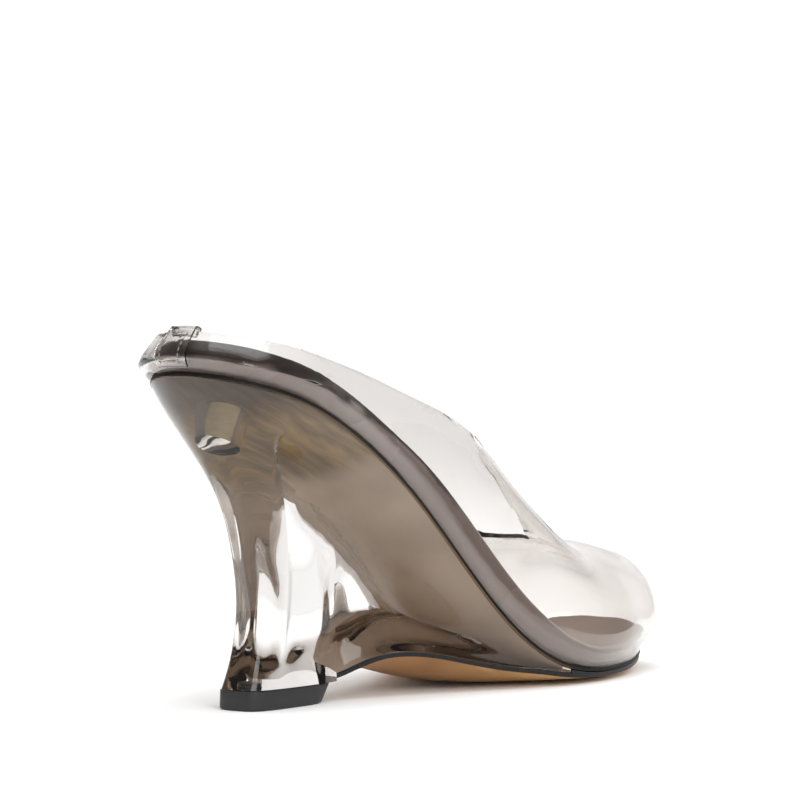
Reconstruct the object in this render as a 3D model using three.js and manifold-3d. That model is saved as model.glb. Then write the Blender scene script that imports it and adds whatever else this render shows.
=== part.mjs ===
// A heeled mule on a clear wedge, right foot, standing empty on its sole.
// Millimetres. X runs from the back of the seat to the toe, Y to the shoe's left, Z up from the floor.

import * as THREE from "three";
import { mergeVertices } from "three/addons/utils/BufferGeometryUtils.js";
import Module from "manifold-3d";

// Driving dimensions

const soleLength = 209.5;       // straight length of the board the shoe is built on
const seatHeight = 95;          // board's top at the back of the seat, above the floor
const ballHeight = 4.2;         // board's top under the ball
const toeSpring = 5;            // how far the toe end lifts
const seatWidth = 52;           // board's width across the seat
const ballWidth = 75.4;         // board's width across the ball
const boardThickness = 1.0;
const footbedThickness = 9.4;   // padded insole, at the seat
const wallThickness = 1.4;      // clear film of the upper
const heelBulge = 4.1;          // film beyond the board round the back
const toeBulge = 7.0;           // film beyond the board round the toe
const instepHeight = 68.4;      // ridge of the film over the board, where it is highest
const collarHeight = 11.2;      // collar over the board at the back of the seat
const sideBulge = 2.4;          // film beyond the board along the sides
const heelRise = 4.7;           // height at which the film stands out most, round the heel
const ballRise = 7.8;           // and at the ball
const throatFront = 160.5;      // front edge of the throat, from the back of the seat
const throatLength = 62;        // back from there, to behind the end of the collar line
const throatCorner = 4.5;
const leatherThickness = 1.3;   // outsole at its edge
const archHeight = 11.8;        // outsole's edge over the floor at the top of the arch
const wedgeFront = 136;         // where the wedge runs out under the ball
const tipBack = 22.6;           // heel tip's back, from the back of the seat
const tipLength = 37;
const tipWidth = 17.2;
const tipHeight = 5.5;
const panelDepth = 2.6;         // recess in each side of the wedge
const webWidth = 13.0;          // what is left between the two recesses, low down behind the arch
const boltWidth = 12;
const boltDepth = 12;
const tabWidth = 9.4;
const tabThickness = 0.7;
const meetingGap = 0.3;         // between curved pieces that touch

// Short tables, in shares of the driving dimensions

// Outline of the board: along is a share of soleLength, right and left are half widths in mm at the
// nominal seat and ball widths. The outer side of the foot is on the right.
const outlineTable = [
  { along: 0.0000, right: 0.0, left: 0.0 },
  { along: 0.0085, right: 8.6, left: 8.6 },
  { along: 0.0330, right: 16.6, left: 16.6 },
  { along: 0.0740, right: 22.8, left: 22.8 },
  { along: 0.1250, right: 25.7, left: 25.7 },
  { along: 0.1900, right: 25.8, left: 25.6 },
  { along: 0.2860, right: 24.4, left: 23.2 },
  { along: 0.3820, right: 24.0, left: 21.0 },
  { along: 0.4400, right: 25.3, left: 20.9 },
  { along: 0.5010, right: 28.6, left: 23.2 },
  { along: 0.5630, right: 32.8, left: 27.8 },
  { along: 0.6250, right: 36.3, left: 32.8 },
  { along: 0.6920, right: 37.8, left: 36.4 },
  { along: 0.7540, right: 36.9, left: 37.4 },
  { along: 0.8200, right: 33.6, left: 36.0 },
  { along: 0.8850, right: 27.6, left: 31.6 },
  { along: 0.9400, right: 20.2, left: 25.2 },
  { along: 0.9780, right: 11.6, left: 17.0 },
  { along: 0.9950, right: 4.2, left: 9.4 },
  { along: 1.0000, right: -2.5, left: 2.5 },
];

// Height of the board's top: fall is the share of the drop from seat to ball that is left,
// spring the share of toeSpring.
const heightTable = [
  { along: 0.000, fall: 1.000, spring: 0.00 },
  { along: 0.119, fall: 0.912, spring: 0.00 },
  { along: 0.239, fall: 0.789, spring: 0.00 },
  { along: 0.310, fall: 0.693, spring: 0.00 },
  { along: 0.372, fall: 0.588, spring: 0.00 },
  { along: 0.430, fall: 0.459, spring: 0.00 },
  { along: 0.477, fall: 0.333, spring: 0.00 },
  { along: 0.535, fall: 0.183, spring: 0.00 },
  { along: 0.573, fall: 0.107, spring: 0.00 },
  { along: 0.620, fall: 0.044, spring: 0.00 },
  { along: 0.668, fall: 0.012, spring: 0.00 },
  { along: 0.716, fall: 0.000, spring: 0.00 },
  { along: 0.800, fall: 0.000, spring: 0.04 },
  { along: 0.880, fall: 0.000, spring: 0.28 },
  { along: 0.940, fall: 0.000, spring: 0.60 },
  { along: 1.000, fall: 0.000, spring: 1.00 },
];

// Outsole: edge and belly are the underside's heights in shares of archHeight at the edge and in the
// middle, wide its half width as a share of the board's.
const soleTable = [
  { along: 0.292, edge: 0.56, belly: 0.54, wide: 0.30 },
  { along: 0.315, edge: 0.78, belly: 0.64, wide: 0.45 },
  { along: 0.344, edge: 0.94, belly: 0.69, wide: 0.55 },
  { along: 0.372, edge: 1.00, belly: 0.66, wide: 0.63 },
  { along: 0.401, edge: 0.98, belly: 0.57, wide: 0.71 },
  { along: 0.439, edge: 0.88, belly: 0.41, wide: 0.80 },
  { along: 0.487, edge: 0.68, belly: 0.23, wide: 0.87 },
  { along: 0.544, edge: 0.47, belly: 0.08, wide: 0.92 },
  { along: 0.597, edge: 0.34, belly: 0.02, wide: 0.955 },
  { along: 0.635, edge: 0.23, belly: 0.00, wide: 0.975 },
  { along: 0.700, edge: 0.14, belly: 0.00, wide: 0.988 },
  { along: 1.000, edge: 0.14, belly: 0.00, wide: 0.988 },
];

// Footbed thickness, as a share of footbedThickness.
const paddingTable = [
  { along: 0.00, thick: 1.00 },
  { along: 0.28, thick: 1.08 },
  { along: 0.40, thick: 1.24 },
  { along: 0.50, thick: 1.32 },
  { along: 0.59, thick: 1.20 },
  { along: 0.65, thick: 0.96 },
  { along: 0.71, thick: 0.74 },
  { along: 0.80, thick: 0.65 },
  { along: 1.00, thick: 0.62 },
];

// Ridge of the upper: over is its height above the board as a share of instepHeight, side how far it
// lies to the left as a share of ballWidth. Behind the throat it is only what the side walls lean to.
const ridgeTable = [
  { along: 0.115, over: 0.409, side: 0 },
  { along: 0.220, over: 0.447, side: 0 },
  { along: 0.300, over: 0.518, side: 0.0053 },
  { along: 0.382, over: 0.637, side: 0.0133 },
  { along: 0.430, over: 0.757, side: 0.0212 },
  { along: 0.468, over: 0.865, side: 0.0292 },
  { along: 0.506, over: 0.950, side: 0.0371 },
  { along: 0.544, over: 1.000, side: 0.0424 },
  { along: 0.582, over: 0.965, side: 0.0491 },
  { along: 0.635, over: 0.819, side: 0.0531 },
  { along: 0.687, over: 0.681, side: 0.0531 },
  { along: 0.720, over: 0.620, side: 0.0531 },
  { along: 0.754, over: 0.579, side: 0.0531 },
  { along: 0.800, over: 0.558, side: 0.0504 },
  { along: 0.850, over: 0.532, side: 0.0451 },
  { along: 0.916, over: 0.465, side: 0.0345 },
];

// Collar seen from the side: over is its height above the board as a share of collarHeight.
const collarTable = [
  { along: -0.0573, over: 1.036 },
  { along: 0.0048, over: 1.028 },
  { along: 0.0573, over: 1.097 },
  { along: 0.1241, over: 1.240 },
  { along: 0.2196, over: 1.618 },
  { along: 0.3007, over: 2.100 },
  { along: 0.3628, over: 2.601 },
  { along: 0.4200, over: 3.280 },
  { along: 0.4678, over: 4.010 },
  { along: 0.5060, over: 4.574 },
  { along: 0.5274, over: 4.821 },
  { along: 0.5442, over: 4.912 },
];

// Throat seen from above: back from throatFront as a share of throatLength, right and left as shares
// of ballWidth.
const throatTable = [
  { back: 1.000, right: 0.1592, left: 0.1671 },
  { back: 0.839, right: 0.1910, left: 0.1936 },
  { back: 0.742, right: 0.2175, left: 0.2149 },
  { back: 0.661, right: 0.1804, left: 0.2149 },
  { back: 0.565, right: 0.1538, left: 0.2095 },
  { back: 0.452, right: 0.1578, left: 0.2095 },
  { back: 0.339, right: 0.1499, left: 0.2082 },
  { back: 0.242, right: 0.1353, left: 0.1989 },
  { back: 0.161, right: 0.1114, left: 0.1830 },
  { back: 0.000, right: 0.0504, left: 0.1485 },
];

// Back of the wedge: up is a share of its height, in how far it lies in front of the straight line
// from the seat to the heel tip, as a share of seatHeight.
const wedgeBackTable = [
  { up: 0.00, in: 0 },
  { up: 0.08, in: 0.0484 },
  { up: 0.17, in: 0.0905 },
  { up: 0.28, in: 0.1263 },
  { up: 0.40, in: 0.1432 },
  { up: 0.52, in: 0.1453 },
  { up: 0.62, in: 0.1305 },
  { up: 0.72, in: 0.0989 },
  { up: 0.82, in: 0.0611 },
  { up: 0.92, in: 0.0232 },
  { up: 1.00, in: 0 },
];

// Side of the wedge: flare is the share of the way from its bottom width to its top width.
const wedgeSideTable = [
  { up: 0.00, flare: 0.00 },
  { up: 0.10, flare: -0.06 },
  { up: 0.25, flare: -0.05 },
  { up: 0.40, flare: 0.02 },
  { up: 0.55, flare: 0.12 },
  { up: 0.66, flare: 0.26 },
  { up: 0.74, flare: 0.44 },
  { up: 0.82, flare: 0.64 },
  { up: 0.92, flare: 0.86 },
  { up: 1.00, flare: 1.00 },
];

// Small tools

const clamp = (v, lo, hi) => Math.min(hi, Math.max(lo, v));
const mix = (a, b, t) => a + (b - a) * t;
const ease = (lo, hi, v) => {
  const t = clamp((v - lo) / (hi - lo), 0, 1);
  return t * t * (3 - 2 * t);
};

// Smooth reading of one column of a table against another, without overshoot.
function reader(table, key, column) {
  const n = table.length;
  const x = table.map((row) => row[key]);
  const y = table.map((row) => row[column]);
  const step = x.slice(1).map((v, i) => v - x[i]);
  const slope = step.map((h, i) => (y[i + 1] - y[i]) / h);
  const bend = y.map((_, i) => {
    if (i === 0) return slope[0];
    if (i === n - 1) return slope[n - 2];
    if (slope[i - 1] * slope[i] <= 0) return 0;
    const a = 2 * step[i] + step[i - 1];
    const b = step[i] + 2 * step[i - 1];
    return (a + b) / (a / slope[i - 1] + b / slope[i]);
  });
  return (at) => {
    const v = clamp(at, x[0], x[n - 1]);
    let i = 0;
    while (i < n - 2 && v > x[i + 1]) i += 1;
    const t = (v - x[i]) / step[i];
    const a = (1 + 2 * t) * (1 - t) * (1 - t);
    const b = t * (1 - t) * (1 - t);
    const c = t * t * (3 - 2 * t);
    const d = t * t * (t - 1);
    return a * y[i] + b * step[i] * bend[i] + c * y[i + 1] + d * step[i] * bend[i + 1];
  };
}

// Board: the surface every other piece is measured from

const fall = reader(heightTable, "along", "fall");
const spring = reader(heightTable, "along", "spring");

function boardHeight(x) {
  const along = x / soleLength;
  return ballHeight + (seatHeight - ballHeight) * fall(along) + toeSpring * spring(along);
}

// Unit vector square to the board at x, in the side view.
function boardNormal(x) {
  const rise = boardHeight(x + 0.5) - boardHeight(x - 0.5);
  const long = Math.hypot(rise, 1);
  return { x: -rise / long, z: 1 / long };
}

const stations = 38;            // points along each side, from the back to the toe

// Outline points of one side, evenly spread, with the outward direction at each.
function outlineSide(side, count) {
  const sign = side === "right" ? -1 : 1;
  const nodes = outlineTable.map((row) => {
    const share = ease(0.25, 0.6, row.along);
    const scale = mix(seatWidth / 52, ballWidth / 75.4, share);
    return new THREE.Vector3(row.along * soleLength, sign * row[side] * scale, 0);
  });
  const mirrored = new THREE.Vector3(nodes[1].x, -nodes[1].y, 0);
  const toe = outlineTable[outlineTable.length - 2];
  const other = side === "right" ? toe.left : -toe.right;
  const past = new THREE.Vector3(toe.along * soleLength, other * ballWidth / 75.4, 0);
  const curve = new THREE.CatmullRomCurve3([mirrored, ...nodes, past], false, "centripetal");
  curve.arcLengthDivisions = 2400;
  const first = lengthShare(curve, 1 / (nodes.length + 1));
  const last = lengthShare(curve, nodes.length / (nodes.length + 1));
  const points = [];
  for (let i = 0; i <= count; i += 1) {
    const u = mix(first, last, i / count);
    const p = curve.getPointAt(u);
    const t = curve.getTangentAt(u);
    points.push({ x: p.x, y: p.y, outX: sign * -t.y, outY: sign * t.x });
  }
  points[0] = { x: 0, y: 0, outX: -1, outY: 0 };
  return points;
}

// Share of a curve's length that lies before its parameter t.
function lengthShare(curve, t) {
  const lengths = curve.getLengths();
  const at = t * (lengths.length - 1);
  const i = Math.floor(at);
  const here = mix(lengths[i], lengths[Math.min(i + 1, lengths.length - 1)], at - i);
  return here / lengths[lengths.length - 1];
}

const fine = 16;                // finer points between two stations
const rightFine = outlineSide("right", stations * fine);
const leftFine = outlineSide("left", stations * fine);
leftFine[stations * fine] = { ...rightFine[stations * fine] };
const rightSide = rightFine.filter((_, i) => i % fine === 0);
const leftSide = leftFine.filter((_, i) => i % fine === 0);

// Y of the board's edge at x, on the right below zero and on the left above it.
function edgeY(side, x) {
  const points = side < 0 ? rightFine : leftFine;
  let lo = 0;
  let hi = points.length - 1;
  while (hi - lo > 1) {
    const mid = (lo + hi) >> 1;
    if (points[mid].x > x) hi = mid;
    else lo = mid;
  }
  const t = clamp((x - points[lo].x) / (points[hi].x - points[lo].x || 1), 0, 1);
  return mix(points[lo].y, points[hi].y, t);
}

// Closed loop of points: back, right side, toe, left side.
function loop(place) {
  const out = [];
  for (let i = 0; i <= stations; i += 1) out.push(place(rightSide[i], i, -1));
  for (let i = stations - 1; i > 0; i -= 1) out.push(place(leftSide[i], i, 1));
  return out;
}

// Loop that lies the given distances inside the board's edge and above its top.
function boardLoop(inset, lift) {
  return loop((p, i) => {
    const x = p.x - p.outX * inset;
    const y = p.y - p.outY * inset;
    const up = boardNormal(p.x);
    const high = typeof lift === "function" ? lift(p.x) : lift;
    return [x + up.x * high, y, boardHeight(x) + up.z * high];
  });
}

// Solids from loops

function meshFrom(name, points, faces, material) {
  let volume = 0;
  for (const [a, b, c] of faces) {
    const p = points[a];
    const q = points[b];
    const r = points[c];
    volume += p[0] * (q[1] * r[2] - q[2] * r[1]) - p[1] * (q[0] * r[2] - q[2] * r[0]);
    volume += p[2] * (q[0] * r[1] - q[1] * r[0]);
  }
  const index = faces.flatMap(([a, b, c]) => (volume < 0 ? [a, c, b] : [a, b, c]));
  const shape = new THREE.BufferGeometry();
  shape.setAttribute("position", new THREE.Float32BufferAttribute(points.flat(), 3));
  shape.setIndex(index);
  return named(name, shape, material);
}

function named(name, shape, material) {
  shape.computeVertexNormals();
  const mesh = new THREE.Mesh(shape, material);
  mesh.name = name;
  return mesh;
}

// Strips across a loop between its right and left points, with inner columns that sag places.
function capFaces(points, ring, cap, flip) {
  const { columns = 1, sag } = cap;
  const even = Array.from({ length: columns }, (_, k) => (k + 1) / (columns + 1));
  const shares = cap.at ? cap.at.map((v) => (v + 1) / 2) : even;
  const faces = [];
  const count = ring.length;
  const half = count / 2;
  const row = (i) => {
    if (i === 0 || i === half) return [ring[i]];
    const a = ring[i];
    const b = ring[count - i];
    const out = [a];
    for (const t of shares) {
      const p = points[a].map((v, axis) => mix(v, points[b][axis], t));
      points.push(sag ? sag(p, t, i) : p);
      out.push(points.length - 1);
    }
    out.push(b);
    return out;
  };
  let last = row(0);
  for (let i = 1; i <= half; i += 1) {
    const next = row(i);
    for (let k = 0; k < Math.max(last.length, next.length) - 1; k += 1) {
      const a = last[Math.min(k, last.length - 1)];
      const b = last[Math.min(k + 1, last.length - 1)];
      const c = next[Math.min(k, next.length - 1)];
      const d = next[Math.min(k + 1, next.length - 1)];
      if (a !== b) faces.push(flip ? [a, c, b] : [a, b, c]);
      if (c !== d) faces.push(flip ? [b, c, d] : [b, d, c]);
    }
    last = next;
  }
  return faces;
}

// Solid from a stack of loops, bottom first, closed by caps.
function stacked(name, loops, material, bottom = {}, top = {}) {
  const points = loops.flat();
  const count = loops[0].length;
  const ring = (k) => loops[0].map((_, i) => k * count + i);
  const faces = [];
  for (let k = 0; k < loops.length - 1; k += 1) {
    for (let i = 0; i < count; i += 1) {
      const j = (i + 1) % count;
      const a = k * count + i;
      const b = k * count + j;
      faces.push([a, b, b + count], [a, b + count, a + count]);
    }
  }
  faces.push(...capFaces(points, ring(0), bottom, false));
  faces.push(...capFaces(points, ring(loops.length - 1), top, true));
  return meshFrom(name, points, faces, material);
}

// Booleans

const wasm = await Module();
wasm.setup();

function toSolid(mesh) {
  const shape = mesh.geometry.clone();
  shape.deleteAttribute("normal");
  shape.deleteAttribute("uv");
  const merged = mergeVertices(shape, 1e-5);
  return new wasm.Manifold(new wasm.Mesh({
    numProp: 3,
    vertProperties: new Float32Array(merged.attributes.position.array),
    triVerts: new Uint32Array(merged.index.array),
  }));
}

function fromSolid(name, solid, material) {
  const out = solid.getMesh();
  const shape = new THREE.BufferGeometry();
  shape.setAttribute("position", new THREE.BufferAttribute(new Float32Array(out.vertProperties), 3));
  shape.setIndex(new THREE.BufferAttribute(new Uint32Array(out.triVerts), 1));
  return named(name, shape, material);
}

// Materials

function paint(name, color, roughness, more = {}) {
  return new THREE.MeshStandardMaterial({ name, color, roughness, metalness: 0, ...more });
}

const smokedClear = paint("smoked_clear", 0x8c7d70, 0.05, { transparent: true, opacity: 0.55 });
const clearFilm = paint("clear_film", 0xe8e4de, 0.06, { transparent: true, opacity: 0.35 });
const glossGrey = paint("gloss_grey", 0x6b625d, 0.25);
const blackEdge = paint("black_edge", 0x141312, 0.45);
const tanLeather = paint("tan_leather", 0xc98f57, 0.5);
const blackRubber = paint("black_rubber", 0x2a2a2a, 0.6);
const creamMetal = paint("cream_metal", 0xb9a98c, 0.35, { metalness: 0.8 });

// Insole board: the thin black line all round

function insoleBoard() {
  const loops = [boardLoop(0, -boardThickness), boardLoop(0, 0)];
  return stacked("insole_board", loops, blackEdge);
}

// Film of the upper: how far it stands outside the board's edge at a height over it

function bulgeAt(x, height) {
  const along = x / soleLength;
  const most = mix(mix(heelBulge, sideBulge, ease(0.1, 0.3, along)), toeBulge, ease(0.84, 0.97, along));
  const rise = mix(heelRise, ballRise, ease(0.5, 0.9, along));
  const back = 1 - ease(0.12, 0.3, along);
  const fade = 0.5 * ease(heelRise * 0.96, collarHeight * 1.07, height) * back;
  return most * (1 - fade) * Math.sin(clamp(height / rise, 0, 1) * Math.PI / 2);
}

// Footbed: thick, with a rounded top edge, filling the film from inside

const padding = reader(paddingTable, "along", "thick");

function footbed() {
  const ends = (along) => 0.4 * (1 - ease(0.02, 0.2, along)) + 2 * ease(0.86, 0.98, along);
  const inside = (x) => wallThickness + meetingGap * 2.2 + ends(x / soleLength);
  const thick = (x) => footbedThickness * padding(x / soleLength);
  const lift = (p) => (p.z - boardHeight(p.x)) * boardNormal(p.x).z;
  const level = (share, round) => loop((p, i, side) => {
    const at = side < 0 ? i : -i;
    const want = meetingGap + (thick(p.x) - meetingGap) * share;
    let low = 0;
    let high = 0.9;
    for (let k = 0; k < 24; k += 1) {
      const up = (low + high) / 2;
      if (lift(filmPoint(at, up)) < want) low = up;
      else high = up;
    }
    const out = filmNormal(at, low);
    if (out.z < 0) out.setZ(0).divideScalar(out.x * out.x + out.y * out.y);
    const q = filmPoint(at, low).addScaledVector(out, -inside(p.x) - round);
    return [q.x, q.y, boardHeight(q.x) + want / boardNormal(q.x).z];
  });
  const loops = [level(0, 0), level(0.16, 0), level(0.36, 0), level(0.6, 0.15),
    level(0.78, 0.7), level(0.91, 1.8), level(0.98, 3.6), level(1, 6)];
  const hollow = (p, t, i) => {
    const dish = 0.9 * Math.sin(Math.PI * t) * ease(0, 6, i) * (1 - ease(stations - 8, stations, i));
    return [p[0], p[1], p[2] - dish];
  };
  return stacked("footbed", loops, glossGrey, { columns: 1 }, { columns: 3, sag: hollow });
}

// Outsole: leather from the heel tip's front to the toe, its belly lower than its edge

const soleEdge = reader(soleTable, "along", "edge");
const soleBelly = reader(soleTable, "along", "belly");
const soleWide = reader(soleTable, "along", "wide");
const soleColumns = [-0.82, -0.6, -0.25, 0.25, 0.6, 0.82];
const tipFront = tipBack + tipLength;

function soleUnder(x, across) {
  const along = x / soleLength;
  const lift = toeSpring * spring(along) * 0.96;
  const edge = archHeight * soleEdge(along);
  const belly = archHeight * soleBelly(along);
  const t = clamp((Math.abs(across) - 0.25) / 0.75, 0, 1);
  return lift + belly + (edge - belly) * t * t;
}

// Top of the leather: under the wedge it follows the underside, in front of it the board.
function soleTop(x, across) {
  const board = boardHeight(x) - (boardThickness + meetingGap) / boardNormal(x).z;
  if (x > wedgeFront) return board;
  const more = 0.7 * (1 - Math.min(1, Math.abs(across)));
  return Math.min(board, soleUnder(x, across) + leatherThickness + more);
}

// Places along the board where the wedge has a row of points. The outsole shares those of the arch.
const wedgeStations = 40;

function wedgeRows() {
  const most = rightFine.findIndex((p) => p.x > wedgeFront - 0.3);
  const xs = [0.6, tipFront, tipFront + 0.15, wedgeFront - 0.3];
  for (let i = 1; i < wedgeStations; i += 1) {
    const x = rightFine[Math.round((i / wedgeStations) * most)].x;
    if (Math.abs(x - tipFront) > 1.2 && x < wedgeFront - 1) xs.push(x);
  }
  return xs.sort((a, b) => a - b);
}

function outsole() {
  const arch = wedgeRows().filter((x) => x > tipFront + meetingGap);
  const front = rightSide.map((p) => p.x).filter((x) => x > wedgeFront + 0.8);
  const xs = [tipFront + meetingGap, ...arch, wedgeFront - 0.02, wedgeFront + 0.3, ...front];
  const columns = [-1, ...soleColumns, 1];
  const points = [];
  const grid = xs.map((x) => {
    const share = soleWide(x / soleLength);
    const right = edgeY(-1, x) * share;
    const left = edgeY(1, x) * share;
    const pair = [];
    for (const c of columns) {
      const y = mix(right, left, (c + 1) / 2);
      points.push([x, y, soleUnder(x, c)], [x, y, soleTop(x, c)]);
      pair.push([points.length - 2, points.length - 1]);
    }
    return pair;
  });
  const faces = [];
  const quad = (a, b, c, d) => faces.push([a, b, c], [a, c, d]);
  for (let i = 0; i < grid.length - 1; i += 1) {
    const here = grid[i];
    const next = grid[i + 1];
    for (let k = 0; k < columns.length - 1; k += 1) {
      quad(here[k][0], here[k + 1][0], next[k + 1][0], next[k][0]);
      quad(here[k][1], next[k][1], next[k + 1][1], here[k + 1][1]);
    }
    quad(here[0][0], next[0][0], next[0][1], here[0][1]);
    const e = columns.length - 1;
    quad(here[e][0], here[e][1], next[e][1], next[e][0]);
  }
  for (let k = 0; k < columns.length - 1; k += 1) {
    const a = grid[0];
    quad(a[k][0], a[k][1], a[k + 1][1], a[k + 1][0]);
    const z = grid[grid.length - 1];
    quad(z[k][0], z[k + 1][0], z[k + 1][1], z[k][1]);
  }
  return meshFrom("outsole", points, faces, tanLeather);
}

// Wedge: one moulding from the seat to the ball, with a rear column and a recessed panel each side

const backShare = reader(wedgeBackTable, "up", "in");
const wedgeBack = (up) => seatHeight * backShare(up);
const wedgeFlare = reader(wedgeSideTable, "up", "flare");
const wedgeLevels = [0, 0.035, 0.07, 0.11, 0.16, 0.21, 0.27, 0.34, 0.42, 0.5, 0.58, 0.66, 0.73, 0.79, 0.85, 0.91, 0.96, 1];

// Half width of the heel tip at a share of its length, its back rounded.
function tipHalf(share) {
  const t = Math.abs(2 * clamp(share, 0, 1) - 1);
  return (tipWidth / 2) * Math.pow(Math.max(1 - Math.pow(t, 3.6), 0), 1 / 3.6);
}

// Where the wedge's back lies at a height.
function backLine(z) {
  const up = clamp((z - tipHeight) / (seatHeight - tipHeight), 0, 1);
  return mix(tipBack, 0, up) + wedgeBack(up);
}

// Underside of the wedge: flat on the heel tip, then along the outsole.
function wedgeUnder(x, across) {
  if (x <= tipFront) return tipHeight + meetingGap;
  return soleTop(x, across) + meetingGap;
}

// Height the wedge's side rises from: its underside, with the step in front of the tip smoothed out.
function wedgeFoot(x) {
  if (x >= tipFront + 0.1) return wedgeUnder(x, 1);
  const step = wedgeUnder(tipFront + 0.15, 1);
  return mix(tipHeight + meetingGap, step, ease(tipFront - 20, tipFront, x));
}

// Share of its flare that a panel takes on: none low down behind the arch, all of it further up and
// forward, past a slanting line.
function webFlare(x, z) {
  const start = mix(0.21, 0.46, clamp((0.74 * seatHeight - z) / (0.48 * seatHeight), 0, 1));
  return ease(-0.05, 0.13, x / soleLength - start);
}

// One point of the wedge's side: x along the board, up from its bottom edge to its top edge.
function wedgePoint(x, up, side, isBack) {
  const share = clamp(x / tipFront, 0, 1);
  const bottomX = x < tipFront ? mix(tipBack, tipFront, Math.pow(share, 1.15)) : x;
  const arch = Math.abs(edgeY(side, Math.max(x, tipFront + 1))) * soleWide(x / soleLength);
  const column = tipHalf(0.75 * (bottomX - tipBack) / tipLength);
  const foot = mix(column, arch, ease(tipFront - 8, tipFront + 3, x));
  const seat = Math.abs(edgeY(side, x)) - 0.6;
  const normal = boardNormal(x);
  const lift = boardThickness + meetingGap;
  const low = up === 0 ? wedgeUnder(bottomX, 1) : wedgeFoot(x);
  const high = boardHeight(x) - lift * normal.z;
  const lean = wedgeBack(up) * (1 - ease(0.1, 0.95, share));
  const z = mix(low, high, up);
  const atX = mix(bottomX, x - normal.x * lift, up) + lean;
  let y = isBack ? 0 : mix(foot, seat, wedgeFlare(up));
  const inHeight = ease(2.5, 11, (high - low) * up) * ease(6, 20, (high - low) * (1 - up));
  const inLength = ease(9, 14, atX - backLine(z));
  const panel = Math.min(y - panelDepth, mix(webWidth / 2, y - panelDepth, webFlare(atX, z)));
  y = mix(y, panel, inHeight * inLength * ease(0, 4, y - 4));
  return [atX, side * y, z];
}

function wedge() {
  const rows = wedgeRows();
  const loops = wedgeLevels.map((up) => {
    const side = (sign) => rows.map((x, i) => wedgePoint(x, up, sign, i === 0));
    const right = side(-1);
    const left = side(1);
    const ends = [right[rows.length - 1], left[rows.length - 1]];
    const middle = ends[0].map((v, axis) => (v + ends[1][axis]) / 2);
    if (up === 0) middle[2] = wedgeUnder(middle[0], 0);
    return [...right, middle, ...left.slice(1).reverse()];
  });
  const crown = (p, t) => [p[0], p[1], wedgeUnder(p[0], 2 * t - 1)];
  const whole = stacked("wedge", loops, smokedClear, { at: soleColumns, sag: crown }, { columns: 1 });
  const hole = boltShape(boltWidth / 2 + meetingGap / 2, boltDepth + meetingGap / 2, 3);
  return fromSolid("wedge", toSolid(whole).subtract(toSolid(hole)), smokedClear);
}

// Bolt that holds the wedge to the seat, in a blind hole under the board

function boltShape(radius, depth, above) {
  const x = 21.5;
  const normal = boardNormal(x);
  const lift = boardThickness + meetingGap;
  const shape = new THREE.CylinderGeometry(radius, radius, depth + above, 36);
  shape.translate(0, (above - depth) / 2, 0);
  shape.applyQuaternion(new THREE.Quaternion().setFromUnitVectors(
    new THREE.Vector3(0, 1, 0),
    new THREE.Vector3(normal.x, 0, normal.z),
  ));
  shape.translate(x - normal.x * lift, 0, boardHeight(x) - normal.z * lift);
  return named("seat_bolt", shape, creamMetal);
}

// Heel tip: rubber, its front face slanting back to the floor

function tipLoop(length, z, inset) {
  const out = [];
  const count = 56;
  for (let i = 0; i < count; i += 1) {
    const a = Math.PI - (i / count) * Math.PI * 2;
    const c = Math.cos(a);
    const s = -Math.sin(a);
    const x = Math.sign(c) * Math.pow(Math.abs(c), 2 / 3.6) * (length / 2 - inset);
    const y = Math.sign(s) * Math.pow(Math.abs(s), 2 / 3.6) * (tipWidth / 2 - inset);
    out.push([tipBack + length / 2 + x, y, z]);
  }
  return out;
}

function heelTip() {
  const under = tipLength - 4;
  const loops = [
    tipLoop(under, 0, 0.5),
    tipLoop(under + 0.4, 0.5, 0),
    tipLoop(tipLength, tipHeight, 0),
  ];
  return stacked("heel_tip", loops, blackRubber, { columns: 0 }, { columns: 0 });
}

// Upper: one clear film over the shape of the foot, open at the collar, the throat and underneath

const ridgeOver = reader(ridgeTable, "along", "over");
const ridgeSide = reader(ridgeTable, "along", "side");
const collarOver = reader(collarTable, "along", "over");

// Height of the collar's edge over the floor.
function rimHeight(x) {
  return boardHeight(Math.max(x, 0)) + collarHeight * collarOver(x / soleLength);
}

// Point on the film's outside. at runs along the outline in stations, below zero on the left side,
// and up runs from the board's edge at 0 to the ridge at 1.
function filmPoint(at, up) {
  const side = at < 0 ? 1 : -1;
  const near = clamp(Math.abs(at), 0, stations) * fine;
  const i = Math.min(Math.floor(near), stations * fine - 1);
  const blend = (list, key) => mix(list[i][key], list[i + 1][key], near - i);
  const own = side < 0 ? rightFine : leftFine;
  const footX = blend(own, "x");
  const footY = blend(own, "y");
  const middle = (blend(rightFine, "x") + blend(leftFine, "x")) / 2;
  const normal = boardNormal(footX);
  const tilt = 24 * normal.x * normal.x;
  const first = ridgeTable[0].along * soleLength;
  const last = ridgeTable[ridgeTable.length - 1].along * soleLength;
  const topX = clamp(middle + tilt, first, last);
  const topY = ridgeSide(topX / soleLength) * ballWidth;
  const over = ridgeOver(topX / soleLength) * instepHeight;
  const base = boardHeight(footX) + meetingGap * normal.z;
  const turn = up * Math.PI / 2;
  const tall = boardHeight(topX) + over - base;
  const full = mix(1, 0.72, ease(0.5, 0.72, topX / soleLength));
  const height = tall * Math.pow(Math.sin(turn), full);
  const out = bulgeAt(footX, height) * Math.cos(turn);
  const flat = Math.pow(Math.cos(turn), full);
  const x = mix(topX, footX, flat) + (topX - footX) * (height / tall - 1 + flat) * lowTilt(footX);
  return new THREE.Vector3(
    x + blend(own, "outX") * out,
    mix(topY, footY, flat) + blend(own, "outY") * out,
    base + height,
  );
}

// Share of the forward lean that the film takes on low down, only along the sides.
function lowTilt(x) {
  const along = x / soleLength;
  return ease(0.16, 0.3, along) * (1 - ease(0.72, 0.88, along));
}

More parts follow.
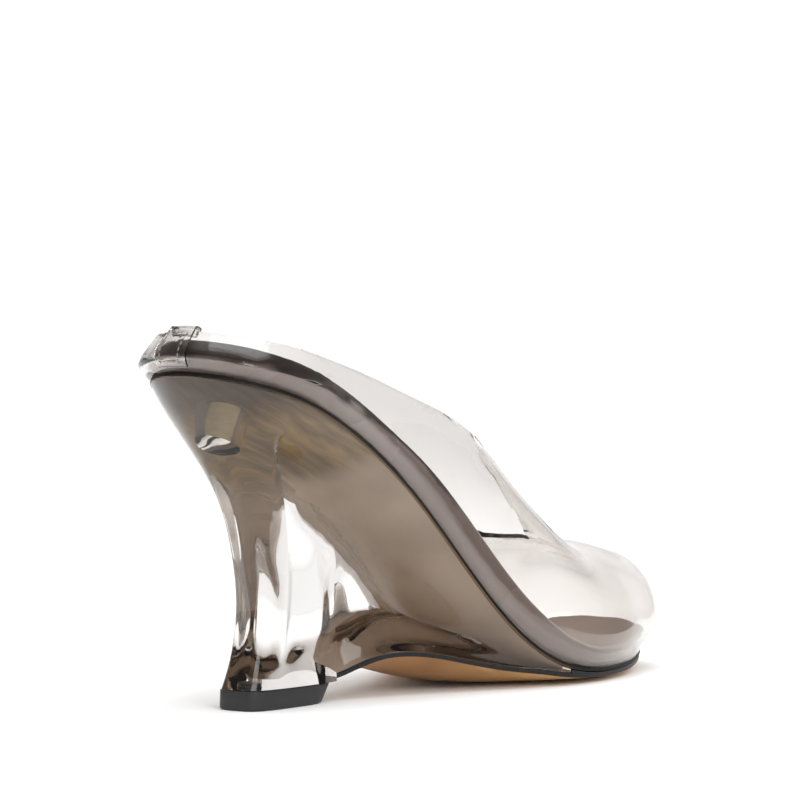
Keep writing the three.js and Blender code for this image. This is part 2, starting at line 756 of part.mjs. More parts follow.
function filmNormal(at, up) {
  const e = 0.05;
  const low = Math.max(up - 0.01, 0);
  const along = filmPoint(at + e, up).sub(filmPoint(at - e, up));
  const rise = filmPoint(at, up + 0.01).sub(filmPoint(at, low));
  return along.cross(rise).normalize();
}

const filmLevels = [0, 0.02, 0.045, 0.075, 0.11, 0.17, 0.25, 0.33, 0.42, 0.52, 0.62, 0.73, 0.84];

function filmShell() {
  const count = 2 * stations;
  const outer = [];
  const faces = [];
  const at = (i) => (i <= stations ? i : i - count);
  for (let i = 0; i < count; i += 1) {
    for (const up of filmLevels) outer.push(filmPoint(at(i), up));
  }
  const rows = filmLevels.length;
  const ridge = (i) => count * rows + (i <= stations ? i : count - i);
  for (let i = 0; i <= stations; i += 1) outer.push(filmPoint(i, 1));
  for (let i = 0; i < count; i += 1) {
    const j = (i + 1) % count;
    for (let k = 0; k < rows; k += 1) {
      const a = i * rows + k;
      const b = j * rows + k;
      const c = k < rows - 1 ? b + 1 : ridge(j);
      const d = k < rows - 1 ? a + 1 : ridge(i);
      faces.push([a, b, c], [a, c, d]);
    }
  }
  const skin = new THREE.BufferGeometry().setFromPoints(outer);
  skin.setIndex(faces.flat());
  const merged = mergeVertices(skin, 1e-4);
  merged.computeVertexNormals();
  const normals = outer.map((p, n) => {
    const v = new THREE.Vector3();
    const m = nearest(merged, skin, n);
    return v.fromBufferAttribute(merged.attributes.normal, m);
  });
  const inner = outer.map((p, n) => {
    const q = p.clone().addScaledVector(normals[n], -wallThickness);
    if (n < count * rows && n % rows === 0) {
      const flat = normals[n].clone().setZ(0).normalize();
      q.copy(p).addScaledVector(flat, -wallThickness);
      q.z = boardHeight(q.x) + (p.z - boardHeight(p.x));
    }
    return q;
  });
  const points = [...outer, ...inner].map((p) => p.toArray());
  const shift = outer.length;
  const all = [...faces, ...faces.map(([a, b, c]) => [a + shift, c + shift, b + shift])];
  for (let i = 0; i < count; i += 1) {
    const a = i * rows;
    const b = ((i + 1) % count) * rows;
    all.push([a, a + shift, b + shift], [a, b + shift, b]);
  }
  return meshFrom("film", points, all, clearFilm);
}

// Index in the merged shape of a point of the unmerged one.
function nearest(merged, skin, n) {
  if (!merged.userData.lookup) {
    const lookup = new Map();
    const p = merged.attributes.position;
    for (let i = 0; i < p.count; i += 1) lookup.set(cellOf(p, i), i);
    merged.userData.lookup = lookup;
  }
  return merged.userData.lookup.get(cellOf(skin.attributes.position, n));
}

function cellOf(p, i) {
  return [p.getX(i), p.getY(i), p.getZ(i)].map((v) => Math.round(v * 1e3)).join(" ");
}

// Everything over the collar line, seen from the side.
function collarCut() {
  const first = collarTable[0].along * soleLength;
  const last = collarTable[collarTable.length - 1].along * soleLength;
  const clear = seatHeight + instepHeight;
  const outline = [];
  for (let i = 0; i <= 60; i += 1) {
    const x = mix(first, last, i / 60);
    outline.push(new THREE.Vector2(x, rimHeight(x)));
  }
  outline.push(new THREE.Vector2(last + 8, clear));
  outline.push(new THREE.Vector2(first, clear));
  const shape = new THREE.ExtrudeGeometry(new THREE.Shape(outline), { depth: 2 * ballWidth, bevelEnabled: false });
  shape.rotateX(Math.PI / 2);
  shape.translate(0, ballWidth, 0);
  return named("collar_cut", shape, clearFilm);
}

// The throat seen from above, its two front corners rounded.
function throatCut() {
  const at = (row, y) => new THREE.Vector2(throatFront - row.back * throatLength, y * ballWidth);
  const right = throatTable.map((row) => at(row, -row.right));
  const left = throatTable.map((row) => at(row, row.left));
  const n = right.length;
  const outline = [
    ...smooth(right.slice(0, n - 1)),
    ...rounded(right[n - 2], right[n - 1], left[n - 1], throatCorner),
    ...rounded(right[n - 1], left[n - 1], left[n - 2], throatCorner),
    ...smooth(left.slice(0, n - 1)).reverse(),
  ];
  const shape = new THREE.ExtrudeGeometry(new THREE.Shape(outline), { depth: 2 * seatHeight, bevelEnabled: false });
  return named("throat_cut", shape, clearFilm);
}

function smooth(points) {
  return new THREE.SplineCurve(points).getPoints(points.length * 3);
}

// Arc that rounds the corner b between a and c.
function rounded(a, b, c, radius) {
  const back = a.clone().sub(b).normalize();
  const ahead = c.clone().sub(b).normalize();
  const half = back.angleTo(ahead) / 2;
  const reach = radius / Math.tan(half);
  const centre = back.clone().add(ahead).normalize().multiplyScalar(radius / Math.sin(half)).add(b);
  const from = back.multiplyScalar(reach).add(b).sub(centre);
  const to = ahead.multiplyScalar(reach).add(b).sub(centre);
  const turn = Math.atan2(from.cross(to), from.dot(to));
  const out = [];
  for (let k = 0; k <= 6; k += 1) {
    out.push(from.clone().rotateAround(new THREE.Vector2(), turn * k / 6).add(centre));
  }
  return out;
}

function upper() {
  const film = toSolid(filmShell());
  const open = film.subtract(toSolid(collarCut())).subtract(toSolid(throatCut()));
  return fromSolid("upper", open, clearFilm);
}

// Tab: a clear strip folded over the back of the collar

function backTab() {
  const perStation = Math.hypot(rightSide[1].x, rightSide[1].y);
  const reach = tabWidth / 2 / perStation;
  const out = meetingGap;
  const far = out + tabThickness;
  const inside = wallThickness + meetingGap;
  const deep = inside + tabThickness;
  const columns = [-1, -0.5, 0, 0.5, 1];
  const rows = columns.map((c) => {
    const at = c * reach || 1e-4;
    const topZ = rimHeight(filmPoint(at, 0.3).x);
    let top = 0.3;
    for (let k = 0; k < 20; k += 1) top += (topZ - filmPoint(at, top).z) / 28;
    const on = (up, d) => filmPoint(at, up).addScaledVector(filmNormal(at, up), d);
    const lean = filmNormal(at, top).setZ(0);
    const over = (d, lift) => {
      const p = filmPoint(at, top).addScaledVector(lean, d / lean.lengthSq());
      return p.setZ(topZ + lift);
    };
    const low = 0.05;
    const steps = [0, 0.12, 0.25, 0.4, 0.55, 0.7, 0.85, 0.95];
    return [
      ...steps.map((t) => on(mix(low, top, t), far)),
      over(far * 0.8, 0.2),
      over(out * 0.5, far),
      over(-inside * 0.8, far),
      over(-deep, 0.1),
      on(top - 0.035, -deep),
      on(top - 0.035, -inside),
      over(-inside, out),
      over(out * 0.8, out),
      ...steps.map((t) => on(mix(low, top, t), out)).reverse(),
    ].map((p) => p.toArray());
  });
  const count = rows[0].length;
  const points = rows.flat();
  const faces = [];
  for (let r = 0; r < rows.length - 1; r += 1) {
    for (let i = 0; i < count; i += 1) {
      const j = (i + 1) % count;
      const a = r * count + i;
      const b = r * count + j;
      faces.push([a, b, b + count], [a, b + count, a + count]);
    }
  }
  const half = count / 2;
  for (const [start, flip] of [[0, false], [(rows.length - 1) * count, true]]) {
    for (let i = 0; i < half - 1; i += 1) {
      const a = start + i;
      const b = start + i + 1;
      const c = start + count - 2 - i;
      const d = start + count - 1 - i;
      faces.push(flip ? [a, b, c] : [a, c, b], flip ? [a, c, d] : [a, d, c]);
    }
  }
  return meshFrom("back_tab", points, faces, clearFilm);
}

// The shoe, moved so that the origin is on the floor in the middle of its length and width

const shoe = new THREE.Group();
shoe.add(outsole(), wedge(), heelTip(), insoleBoard());
shoe.add(boltShape(boltWidth / 2, boltDepth, 0), footbed(), upper(), backTab());
const middle = new THREE.Box3().setFromObject(shoe, true).getCenter(new THREE.Vector3());
shoe.position.set(-middle.x, -middle.y, 0);

const root = new THREE.Group();
root.name = "heeled_shoe";
root.add(shoe);
export default root;
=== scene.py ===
# A slip-on heeled mule in clear plastic: a clear film upper, a thick padded footbed and a smoked clear
# wedge whose slender back column stands on a rubber tip. Metres, Z up, +X to the toe.

import bmesh
import bpy
import math
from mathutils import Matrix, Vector
from mathutils.bvhtree import BVHTree


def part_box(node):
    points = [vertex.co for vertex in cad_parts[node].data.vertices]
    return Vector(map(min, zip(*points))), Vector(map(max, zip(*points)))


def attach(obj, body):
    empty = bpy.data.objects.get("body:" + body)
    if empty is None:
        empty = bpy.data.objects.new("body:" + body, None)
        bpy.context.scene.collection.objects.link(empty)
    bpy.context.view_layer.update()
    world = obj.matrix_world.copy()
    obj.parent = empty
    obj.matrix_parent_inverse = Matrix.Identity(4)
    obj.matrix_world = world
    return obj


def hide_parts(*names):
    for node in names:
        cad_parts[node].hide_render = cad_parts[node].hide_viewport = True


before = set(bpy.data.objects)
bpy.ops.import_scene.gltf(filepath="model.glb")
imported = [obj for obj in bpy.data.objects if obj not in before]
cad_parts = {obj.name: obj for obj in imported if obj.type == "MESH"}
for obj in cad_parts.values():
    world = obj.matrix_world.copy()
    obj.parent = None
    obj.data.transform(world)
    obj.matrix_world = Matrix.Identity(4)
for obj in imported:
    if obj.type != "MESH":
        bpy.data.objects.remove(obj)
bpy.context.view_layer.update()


# Camera
# It stands low behind the shoe's right side, with a long lens, as the photo's does. Its place and its
# direction were fitted to the shoe in the photo.

def add_object(name, data):
    """An object in the scene that shows the data."""
    made = bpy.data.objects.new(name, data)
    bpy.context.scene.collection.objects.link(made)
    return made


camera_data = bpy.data.cameras.new("camera")
camera_data.lens = 143.99
camera_data.sensor_width = 36.0
camera_data.clip_start = 0.01
camera = add_object("camera", camera_data)
camera.location = (-0.7584, -0.5831, 0.1017)
view_direction = Vector((0.78976, 0.61319, -0.01674))
camera.rotation_euler = view_direction.to_track_quat("-Z", "Y").to_euler()
bpy.context.scene.camera = camera
bpy.context.scene.view_settings.view_transform = "Standard"


# Floor and light
# A plain pale floor that runs out of sight, a bright even room and two soft lamps over the shoe. Only
# mirrored and bent rays see the room's sides darker, which gives the clear pieces their grey.

class Wire:
    """One output of a node. Sums and products of wires add the Math nodes that they need."""

    def __init__(self, nodes, socket):
        self.nodes = nodes
        self.socket = socket

    def maths(self, operation, *values):
        return self.nodes.node("ShaderNodeMath", {"operation": operation}, dict(enumerate(values)))

    def __add__(self, other):
        return self.maths("ADD", self, other)

    def __sub__(self, other):
        return self.maths("SUBTRACT", self, other)

    def __rsub__(self, other):
        return self.maths("SUBTRACT", other, self)

    def __mul__(self, other):
        return self.maths("MULTIPLY", self, other)

    __radd__ = __add__

    def larger(self, other):
        return self.maths("MAXIMUM", self, other)

    def between(self, low, high):
        """0 at low, 1 at high, and smooth between them."""
        return self.nodes.node(
            "ShaderNodeMapRange", {"interpolation_type": "SMOOTHSTEP"},
            {"Value": self, "From Min": low, "From Max": high})

    def axis(self, letter):
        """One part of a vector."""
        return self.nodes.node("ShaderNodeSeparateXYZ", {}, {"Vector": self}, out=letter)

    def beside(self, output):
        """Another output of the same node."""
        return Wire(self.nodes, self.socket.node.outputs[output])


class Nodes:
    """A node tree, emptied and then filled node by node."""

    def __init__(self, tree):
        self.tree = tree
        self.tree.nodes.clear()

    def node(self, kind, settings=None, sockets=None, out=0):
        """Adds a node with its settings, numbers and wires, and gives one of its outputs."""
        made = self.tree.nodes.new(kind)
        for key, value in (settings or {}).items():
            setattr(made, key, value)
        for key, value in (sockets or {}).items():
            if isinstance(value, Wire):
                self.tree.links.new(value.socket, made.inputs[key])
            else:
                made.inputs[key].default_value = value
        return Wire(self, made.outputs[out]) if len(made.outputs) else made

    def blend(self, share, first, second):
        """A colour that goes from the first to the second as the share goes from 0 to 1."""
        return self.node("ShaderNodeMix", {"data_type": "RGBA"}, {0: share, 6: first, 7: second}, out=2)


class Finish(Nodes):
    """One material."""

    def __init__(self, name):
        self.material = bpy.data.materials.new(name)
        self.material.use_nodes = True
        super().__init__(self.material.node_tree)

    def place(self):
        return self.node("ShaderNodeTexCoord", out="Object")

    def facing(self):
        return self.node("ShaderNodeNewGeometry", out="Normal")

    def noise(self, scale, detail, roughness, stretch=(1, 1, 1)):
        at = self.node("ShaderNodeMapping", {}, {"Vector": self.place(), "Scale": stretch})
        return self.node("ShaderNodeTexNoise", {}, {
            "Vector": at, "Scale": scale, "Detail": detail, "Roughness": roughness})

    def bump(self, height, distance, strength):
        return self.node("ShaderNodeBump", {}, {
            "Height": height, "Distance": distance, "Strength": strength})

    def shader(self, **sockets):
        """A Principled shader, each of its sockets named in small letters."""
        named = {key.replace("_", " ").title().replace("Ior", "IOR"): v for key, v in sockets.items()}
        return self.node("ShaderNodeBsdfPrincipled", {}, named)

    def close(self, shader, volume=None):
        """Ends the tree with what the surface and the inside are made of, and gives the material."""
        ends = {"Surface": shader}
        if volume:
            ends["Volume"] = volume
        self.node("ShaderNodeOutputMaterial", {}, ends)
        return self.material

    def surface(self, volume=None, **sockets):
        return self.close(self.shader(**sockets), volume)


def colour(red, green, blue):
    """Display values of 0 to 255 as the linear colour that sockets take."""
    parts = [v / 255 for v in (red, green, blue)]
    return tuple(v / 12.92 if v < 0.04045 else ((v + 0.055) / 1.055) ** 2.4 for v in parts) + (1,)


floor_half = 4.0
floor_mesh = bpy.data.meshes.new("floor")
floor_mesh.from_pydata(
    [(-floor_half, -floor_half, 0), (floor_half, -floor_half, 0),
     (floor_half, floor_half, 0), (-floor_half, floor_half, 0)], [], [(0, 1, 2, 3)])
floor = add_object("floor", floor_mesh)
pale = Finish("pale_floor")
floor.data.materials.append(pale.surface(
    base_color=colour(249, 249, 249), roughness=0.8, specular_ior_level=0.0))

room = bpy.data.worlds.new("room")
room.use_nodes = True
bpy.context.scene.world = room
room_brightness = 1.06
wall_white, wall_grey = (1, 1, 1, 1), (0.2, 0.185, 0.17, 1)
to_camera = (-0.79, -0.607, 0.106)
backdrop_edge, ceiling_edge = (-0.95, -0.6), (0.97, 0.75)
air = Nodes(room.node_tree)
heading = air.node("ShaderNodeTexCoord", out="Generated")
turned_back = air.node(
    "ShaderNodeVectorMath", {"operation": "DOT_PRODUCT"}, {0: heading, 1: to_camera}, out="Value")
off_backdrop = turned_back.between(*backdrop_edge)
off_ceiling = heading.axis("Z").between(*ceiling_edge)
mirrored_ray = air.node("ShaderNodeLightPath", out="Is Glossy Ray")
clear_ray = mirrored_ray.larger(mirrored_ray.beside("Is Transmission Ray"))
unscattered = clear_ray - mirrored_ray.beside("Diffuse Depth")
walls = air.blend(off_backdrop * off_ceiling * unscattered, wall_white, wall_grey)
glow = air.node("ShaderNodeBackground", {}, {"Color": walls, "Strength": room_brightness})
air.node("ShaderNodeOutputWorld", {}, {"Surface": glow})

shoe_middle = Vector((0, 0, 0.05))


def soft_lamp(name, spot, size, power):
    """A square lamp at spot that faces the shoe."""
    data = bpy.data.lights.new(name, "AREA")
    data.size = size
    data.energy = power
    lamp = add_object(name, data)
    lamp.location = spot
    lamp.rotation_euler = (shoe_middle - Vector(spot)).to_track_quat("-Z", "Y").to_euler()


soft_lamp("overhead_lamp", (0.1, -0.2, 1.5), size=1.2, power=9)
soft_lamp("side_lamp", (-0.6, -1.3, 0.7), size=0.7, power=6)


# Outsole
# A thin leather sole from the arch to the toe, glued under the wedge and the board, its belly rounded
# down to the floor. Its underside is waxed tan, with painted shade that makes it browner at the waist
# under the arch, and the cut edge is painted black.

def smoothed(node, name, material, sharp, levels):
    """A divided copy of a solid, with the corners that turn by more than sharp degrees kept hard."""
    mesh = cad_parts[node].data.copy()
    mesh.name = name
    mesh.materials.clear()
    work = bmesh.new()
    work.from_mesh(mesh)
    bmesh.ops.remove_doubles(work, verts=work.verts, dist=2e-6)
    bmesh.ops.join_triangles(
        work, faces=work.faces, angle_face_threshold=math.radians(14),
        angle_shape_threshold=math.radians(50))
    crease = work.edges.layers.float.new("crease_edge")
    for edge in work.edges:
        hard = len(edge.link_faces) == 2 and edge.calc_face_angle() > math.radians(sharp)
        edge[crease] = 1.0 if hard else 0.0
    work.to_mesh(mesh)
    work.free()
    piece = add_object(name, mesh)
    if levels:
        divide = piece.modifiers.new("divide", "SUBSURF")
        divide.levels = levels
        divide.render_levels = levels
    settle(piece)
    mark_corners(piece.data, sharp)
    piece.data.materials.append(material)
    return piece


def settle(piece):
    """Turns a piece and its modifiers into a plain mesh."""
    seen = piece.evaluated_get(bpy.context.evaluated_depsgraph_get())
    made = bpy.data.meshes.new_from_object(seen)
    piece.modifiers.clear()
    piece.data = made


def mark_corners(mesh, sharp):
    """Smooth faces, with a hard line where two of them turn by more than sharp degrees."""
    work = bmesh.new()
    work.from_mesh(mesh)
    for face in work.faces:
        face.smooth = True
    for edge in work.edges:
        edge.smooth = len(edge.link_faces) == 2 and edge.calc_face_angle() < math.radians(sharp)
    work.to_mesh(mesh)
    work.free()


leather = Finish("waxed_tan_leather")
cloud = leather.noise(scale=26, detail=5, roughness=0.6)
clouded = cloud.between(0.35, 0.7)
pores = leather.noise(scale=900, detail=3, roughness=0.6)
scuffs = leather.noise(scale=60, detail=6, roughness=0.7, stretch=(0.35, 2.2, 1))
# Painted shade: the waist under the arch is painted browner than the tread, fading out along the sole.
waist_shade = leather.blend(clouded, colour(150, 106, 62), colour(132, 90, 50))
tread = leather.blend(clouded, colour(200, 160, 104), colour(182, 138, 84))
waist_shade_end = (-0.02, 0.03)
waxed_and_shaded = leather.blend(leather.place().axis("X").between(*waist_shade_end), waist_shade, tread)
scuffed_and_shaded = leather.blend(scuffs.between(0.58, 0.75) * 0.4, waxed_and_shaded, colour(226, 180, 126))
faces_down = (0 - leather.facing().axis("Z")).between(0.08, 0.2)
edge_black = colour(15, 14, 16)
leather_surface = leather.surface(
    base_color=leather.blend(faces_down, edge_black, scuffed_and_shaded), roughness=0.42 + cloud * 0.12,
    specular_ior_level=0.4, normal=leather.bump(pores, distance=0.00005, strength=0.5))
sole = smoothed("outsole", "leather_outsole", leather_surface, sharp=35, levels=1)
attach(sole, "root")
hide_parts("outsole")


# Wedge
# One clear casting with a warm grey smoke tint, from the seat to the ball: a slender back column and a
# recessed panel in each side. Its top is glued to the board and its underside to the leather, and the
# colours of both joints show through it; the board is painted darker at the heel end as painted shade,
# so that the column shows dark through the casting.

smoke = Finish("smoked_clear_casting")
tint = smoke.node("ShaderNodeVolumeAbsorption", {}, {"Color": (0.46, 0.36, 0.27, 1), "Density": 15.5})
polish = smoke.noise(scale=35, detail=3, roughness=0.5)
smoke_surface = smoke.surface(
    volume=tint, base_color=(1, 1, 1, 1), roughness=0.008 + polish * 0.014, ior=1.49,
    transmission_weight=1.0)

glue = Finish("glued_seat_board")
fibre = glue.noise(scale=40, detail=4, roughness=0.5)
strokes = glue.noise(scale=70, detail=5, roughness=0.65, stretch=(0.35, 2.4, 1))
forward = glue.place().axis("X")
heel_shade_fade, taupe_from = (-0.092, -0.074), (-0.054, -0.043)
# Painted shade: the glued board is painted darker brown at the heel end, so that the column looks dark
# through the casting.
heel_painted_shade = glue.blend(strokes.between(0.3, 0.8), colour(84, 68, 60), colour(122, 102, 82))
seat_gold = glue.blend(strokes.between(0.3, 0.75), colour(108, 89, 66), colour(184, 154, 106))
seat_tone = glue.blend(forward.between(*heel_shade_fade), heel_painted_shade, seat_gold)
waist_taupe = glue.blend(fibre.between(0.35, 0.7), colour(212, 192, 170), colour(194, 174, 153))
glue_and_shade_tone = glue.blend(forward.between(*taupe_from), seat_tone, waist_taupe)
glue_surface = glue.surface(base_color=glue_and_shade_tone, roughness=0.55)

bond = Finish("glued_sole_leather")
patches = bond.noise(scale=50, detail=4, roughness=0.6)
bond_surface = bond.surface(
    base_color=bond.blend(patches, colour(200, 178, 158), colour(226, 204, 182)), roughness=0.5)

wedge = smoothed("wedge", "clear_wedge", smoke_surface, sharp=40, levels=1)
wedge.data.materials.append(glue_surface)
wedge.data.materials.append(bond_surface)
clear_slot, board_slot, leather_slot = 0, 1, 2
slices_per_metre = 400


def slice_at(x):
    """The number of the short slice of the shoe's length that x lies in."""
    return round(x * slices_per_metre)


def profile(mesh, pick):
    """The highest or lowest point of a mesh in each slice of its length and the two beside it."""
    heights = {}
    for vertex in mesh.vertices:
        middle = slice_at(vertex.co.x)
        for key in (middle - 1, middle, middle + 1):
            heights[key] = pick(heights.get(key, vertex.co.z), vertex.co.z)
    return heights


# A glued face looks up or down and lies near the wedge's own top or underside, so that the ledges of
# the two panels stay clear.
least_up, most_down = 0.4, -0.3
below_top, over_underside = 0.007, 0.0035
sole_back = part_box("outsole")[0].x
wedge_tops = profile(wedge.data, max)
wedge_lows = profile(wedge.data, min)
for face in wedge.data.polygons:
    here = slice_at(face.center.x)
    near_top = face.center.z > wedge_tops[here] - below_top
    near_underside = face.center.z < wedge_lows[here] + over_underside
    if face.normal.z > least_up and near_top:
        face.material_index = board_slot
    elif face.normal.z < most_down and near_underside and face.center.x > sole_back:
        face.material_index = leather_slot
    else:
        face.material_index = clear_slot
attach(wedge, "root")
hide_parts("wedge")


# Heel tip
# A moulded rubber lift with rounded corners, its front face slanting back, held by a dark dowel that
# is pressed up into the column.

rubber = Finish("black_heel_rubber")
grit = rubber.noise(scale=1400, detail=2, roughness=0.5)
dusty = rubber.noise(scale=45, detail=4, roughness=0.6)
rubber_surface = rubber.surface(
    base_color=rubber.blend(dusty, colour(26, 26, 27), colour(44, 44, 46)),
    roughness=0.42 + dusty * 0.15, normal=rubber.bump(grit, distance=0.00004, strength=0.4))
tip = smoothed("heel_tip", "rubber_heel_tip", rubber_surface, sharp=30, levels=1)
round_off = tip.modifiers.new("round_off", "BEVEL")
round_off.width = 0.0004
round_off.segments = 3
round_off.limit_method = "ANGLE"
round_off.angle_limit = math.radians(40)
settle(tip)
mark_corners(tip.data, sharp=60)
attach(tip, "root")
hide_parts("heel_tip")

dowel_radius, dowel_taper = 0.0024, 0.9
dowel_low, dowel_high = 0.00535, 0.0068
dowel_x, dowel_y = -0.0765, -0.0003
dowel_mesh = bpy.data.meshes.new("tip_dowel")
work = bmesh.new()
bmesh.ops.create_cone(
    work, cap_ends=True, segments=32, radius1=dowel_radius, radius2=dowel_radius * dowel_taper,
    depth=dowel_high - dowel_low)
bmesh.ops.translate(work, verts=work.verts, vec=(dowel_x, dowel_y, (dowel_low + dowel_high) / 2))
work.to_mesh(dowel_mesh)
work.free()
dowel = add_object("tip_dowel", dowel_mesh)
mark_corners(dowel_mesh, sharp=40)
dark_pin = Finish("dark_dowel")
pin_speck = dark_pin.noise(scale=700, detail=3, roughness=0.5)
dowel_mesh.materials.append(dark_pin.surface(
    base_color=dark_pin.blend(pin_speck, colour(24, 22, 22), colour(44, 40, 38)), roughness=0.4))
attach(dowel, "root")


# Insole board
# A thin stiff fibre board, glued between the wedge and the footbed. Its cut edge is painted black and
# shows as a fine dark line all round.

board_finish = Finish("board_with_black_edge")
board_speck = board_finish.noise(scale=300, detail=4, roughness=0.6)
upward = board_finish.facing().axis("Z")
off_edge = (upward * upward).between(0.15, 0.3)
edge_paint = colour(12, 11, 11)
board_brown = board_finish.blend(board_speck, colour(120, 98, 72), colour(146, 120, 90))
board_surface = board_finish.surface(
    base_color=board_finish.blend(off_edge, edge_paint, board_brown), roughness=0.6,
    specular_ior_level=0.25)
board = smoothed("insole_board", "insole_board_edge", board_surface, sharp=40, levels=1)
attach(board, "root")
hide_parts("insole_board")


# Seat bolt
# A short boss of dull plated metal in a blind hole under the seat, which ties the wedge to the board
# and shows through the casting.

plate = Finish("dull_plated_boss")
brushed = plate.noise(scale=240, detail=3, roughness=0.5, stretch=(1, 1, 6))
plate_surface = plate.surface(
    base_color=plate.blend(brushed, colour(240, 224, 186), colour(206, 188, 150)),
    metallic=0.45, roughness=0.4 + brushed * 0.15)
boss = smoothed("seat_bolt", "seat_boss", plate_surface, sharp=40, levels=0)
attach(boss, "root")
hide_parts("seat_bolt")


# Footbed
# Thick padding in a glossy grey taupe cover, its top edge rounded over, glued to the board; painted
# shade darkens the cover at the heel and painted reflection lightens it towards the toe. The napped
# lining covers the whole top, taupe towards the toe; at the seat it is painted dark as painted shade,
# and the lining with this painted shade wraps a little way down the edge at the heel.

cover = Finish("glossy_taupe_cover")
lining_and_shade = cover.node("ShaderNodeAttribute", {"attribute_name": "lining_and_shade"}, out="Fac")
mottle = cover.noise(scale=18, detail=3, roughness=0.5)
grain = cover.noise(scale=1500, detail=2, roughness=0.5)
toeward = cover.place().axis("X")
cover_light_turn, lining_shade_turn = (-0.08, 0.09), (-0.035, 0.025)
# Painted shade and painted reflection: the cover is darker at the heel and lighter towards the toe.
heel_shaded_tone = cover.blend(mottle, colour(120, 104, 98), colour(140, 124, 118))
toe_lit_tone = cover.blend(mottle, colour(132, 116, 108), colour(148, 132, 124))
glossy = cover.shader(
    base_color=cover.blend(toeward.between(*cover_light_turn), heel_shaded_tone, toe_lit_tone),
    roughness=0.24 + mottle * 0.06, coat_weight=0.5, coat_roughness=0.08,
    normal=cover.bump(grain, distance=0.00003, strength=0.25))
# Painted shade: the lining is near black at the seat and where it wraps down the edge at the heel, and
# taupe towards the toe.
seat_painted_shade = cover.blend(mottle, colour(34, 26, 25), colour(50, 40, 37))
toe_taupe = cover.blend(mottle, colour(146, 128, 118), colour(166, 150, 140))
napped = cover.shader(
    base_color=cover.blend(toeward.between(*lining_shade_turn), seat_painted_shade, toe_taupe), roughness=0.75,
    specular_ior_level=0.12, normal=cover.bump(grain, distance=0.00004, strength=0.4))
cover_surface = cover.close(cover.node("ShaderNodeMixShader", {}, {0: lining_and_shade, 1: glossy, 2: napped}))
footbed = smoothed("footbed", "padded_footbed", cover_surface, sharp=60, levels=1)

# The edge of the lining and its painted shade lies wrap_start over the footbed's underside at the back
# of the seat, and climbs with the square of the way forward, by wrap_climb in wrap_length.
seat_back = -0.1059
wrap_start, wrap_climb, wrap_length, wrap_fade = 0.0042, 0.0052, 0.0625, 0.0009
top_facing, top_fade = 0.9, 0.04
slope_reach = 3
bed_lows = profile(footbed.data, min)


def lining_and_shade_share(vertex):
    """1 on the lining and its painted shade, 0 on the cover, and between the two along the line where
    they meet.
    """
    here = slice_at(vertex.co.x)
    forward = (vertex.co.x - seat_back) / wrap_length
    edge = bed_lows[here] + wrap_start + wrap_climb * forward * forward
    ahead, behind = bed_lows.get(here + slope_reach), bed_lows.get(here - slope_reach)
    run = 2 * slope_reach / slices_per_metre
    slope = (ahead - behind) / run if ahead and behind else 0.0
    upward = Vector((-slope, 0, 1)).normalized().dot(vertex.normal)
    return min(1.0, max(0.0, (vertex.co.z - edge) / wrap_fade, (upward - top_facing) / top_fade))


mask = footbed.data.attributes.new("lining_and_shade", "FLOAT", "POINT")
for vertex, value in zip(footbed.data.vertices, mask.data):
    value.value = lining_and_shade_share(vertex)
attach(footbed, "root")
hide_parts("footbed")


# Upper
# One clear film, lightly smoked, moulded over the foot and lasted under the footbed's edge. It is nearly
# invisible face on and shows where it turns away and at the cut edge of collar and throat.

film = Finish("clear_film")
film_tint = film.node(
    "ShaderNodeVolumeAbsorption", {}, {"Color": (0.5, 0.38, 0.28, 1), "Density": 135.0})
haze = film.noise(scale=14, detail=3, roughness=0.5)
film_surface = film.surface(
    volume=film_tint, base_color=(1, 1, 1, 1), roughness=0.01 + haze * 0.02, ior=1.47,
    transmission_weight=1.0)
upper = smoothed("upper", "clear_upper", film_surface, sharp=40, levels=1)
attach(upper, "root")
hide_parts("upper")


# Back tab
# A clear strip folded over the collar's back, sewn down each side and across its foot in grey thread.
# The strip is a little rippled, and the stitches lie on its outside.

tab_film = Finish("clear_tab")
tab_tint = tab_film.node(
    "ShaderNodeVolumeAbsorption", {}, {"Color": (0.5, 0.42, 0.34, 1), "Density": 160.0})
tab_ripple = tab_film.noise(scale=260, detail=3, roughness=0.5)
tab_surface = tab_film.surface(
    volume=tab_tint, base_color=(1, 1, 1, 1), roughness=0.06, ior=1.47, transmission_weight=1.0,
    normal=tab_film.bump(tab_ripple, distance=0.0003, strength=0.6))
tab = smoothed("back_tab", "clear_back_tab", tab_surface, sharp=45, levels=2)
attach(tab, "root")
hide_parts("back_tab")

thread = Finish("grey_thread")
twist = thread.noise(scale=2600, detail=2, roughness=0.5)
thread_surface = thread.surface(
    base_color=thread.blend(twist, colour(150, 143, 136), colour(104, 96, 90)), roughness=0.6)
tab_shape = BVHTree.FromPolygons(
    [v.co for v in tab.data.vertices], [p.vertices for p in tab.data.polygons])
behind_heel = -0.2
thread_lift = 0.00012


def seam(start, end, steps):
    """Points on the tab's outside from start to end, each given across and up, seen from behind."""
    path = []
    for step in range(steps + 1):
        across, height = (a + (b - a) * step / steps for a, b in zip(start, end))
        hit = tab_shape.ray_cast(Vector((behind_heel, across, height)), Vector((1, 0, 0)))[0]
        if hit:
            path.append(hit - Vector((thread_lift, 0, 0)))
    return path


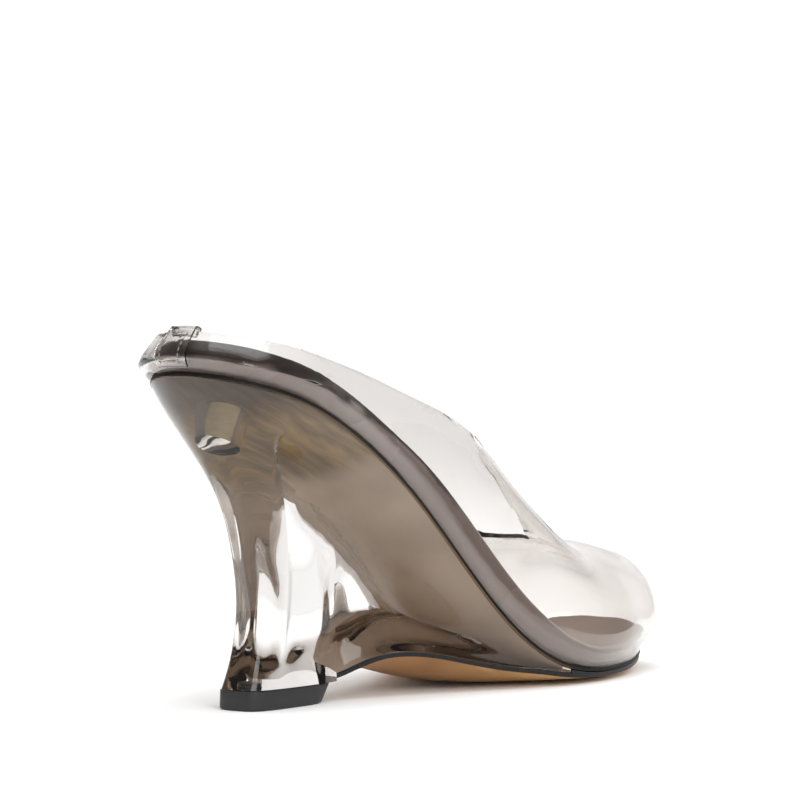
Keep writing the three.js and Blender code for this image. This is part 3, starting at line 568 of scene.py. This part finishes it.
def stitch_tree():
    """Stitches along a path, with their pitch, their length and the thread's radius as inputs."""
    sewing = Nodes(bpy.data.node_groups.new("sewn_row", "GeometryNodeTree"))
    add_socket = sewing.tree.interface.new_socket
    add_socket("Path", in_out="INPUT", socket_type="NodeSocketGeometry")
    sizes = {"Pitch": 0.0016, "Stitch": 0.0011, "Thread": 0.00016}
    for name, size in sizes.items():
        add_socket(name, in_out="INPUT", socket_type="NodeSocketFloat").default_value = size
    add_socket("Stitches", in_out="OUTPUT", socket_type="NodeSocketGeometry")
    path = sewing.node("NodeGroupInput", out="Path")
    curve = sewing.node("GeometryNodeMeshToCurve", {}, {"Mesh": path})
    spots = sewing.node(
        "GeometryNodeCurveToPoints", {"mode": "LENGTH"},
        {"Curve": curve, "Length": path.beside("Pitch")}, out="Points")
    bead = sewing.node("GeometryNodeMeshCylinder", {}, {
        "Vertices": 7, "Radius": path.beside("Thread"), "Depth": path.beside("Stitch")}, out="Mesh")
    laid = sewing.node("GeometryNodeInstanceOnPoints", {}, {
        "Points": spots, "Rotation": spots.beside("Rotation"), "Instance": bead})
    real = sewing.node("GeometryNodeRealizeInstances", {}, {"Geometry": laid})
    sewn = sewing.node("GeometryNodeSetMaterial", {}, {"Geometry": real, "Material": thread_surface})
    sewing.node("NodeGroupOutput", {}, {"Stitches": sewn})
    return sewing.tree


tab_low, tab_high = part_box("back_tab")
tab_middle = (tab_low.y + tab_high.y) / 2
seam_half, seam_drop, seam_rise = 0.0033, 0.0022, 0.0016
seam_right, seam_left = tab_middle - seam_half, tab_middle + seam_half
seam_top, seam_foot = tab_high.z - seam_drop, tab_low.z + seam_rise
seams = [
    seam((seam_right, seam_foot), (seam_right, seam_top), 12),
    seam((seam_left, seam_foot), (seam_left, seam_top), 12),
    seam((seam_right, seam_foot), (seam_left, seam_foot), 10)]
points, links = [], []
for row in seams:
    first = len(points)
    points += row
    links += [(first + i, first + i + 1) for i in range(len(row) - 1)]
path_mesh = bpy.data.meshes.new("tab_stitches")
path_mesh.from_pydata(points, links, [])
stitches = add_object("tab_stitches", path_mesh)
stitches.modifiers.new("sewing", "NODES").node_group = stitch_tree()
settle(stitches)
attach(stitches, "root")
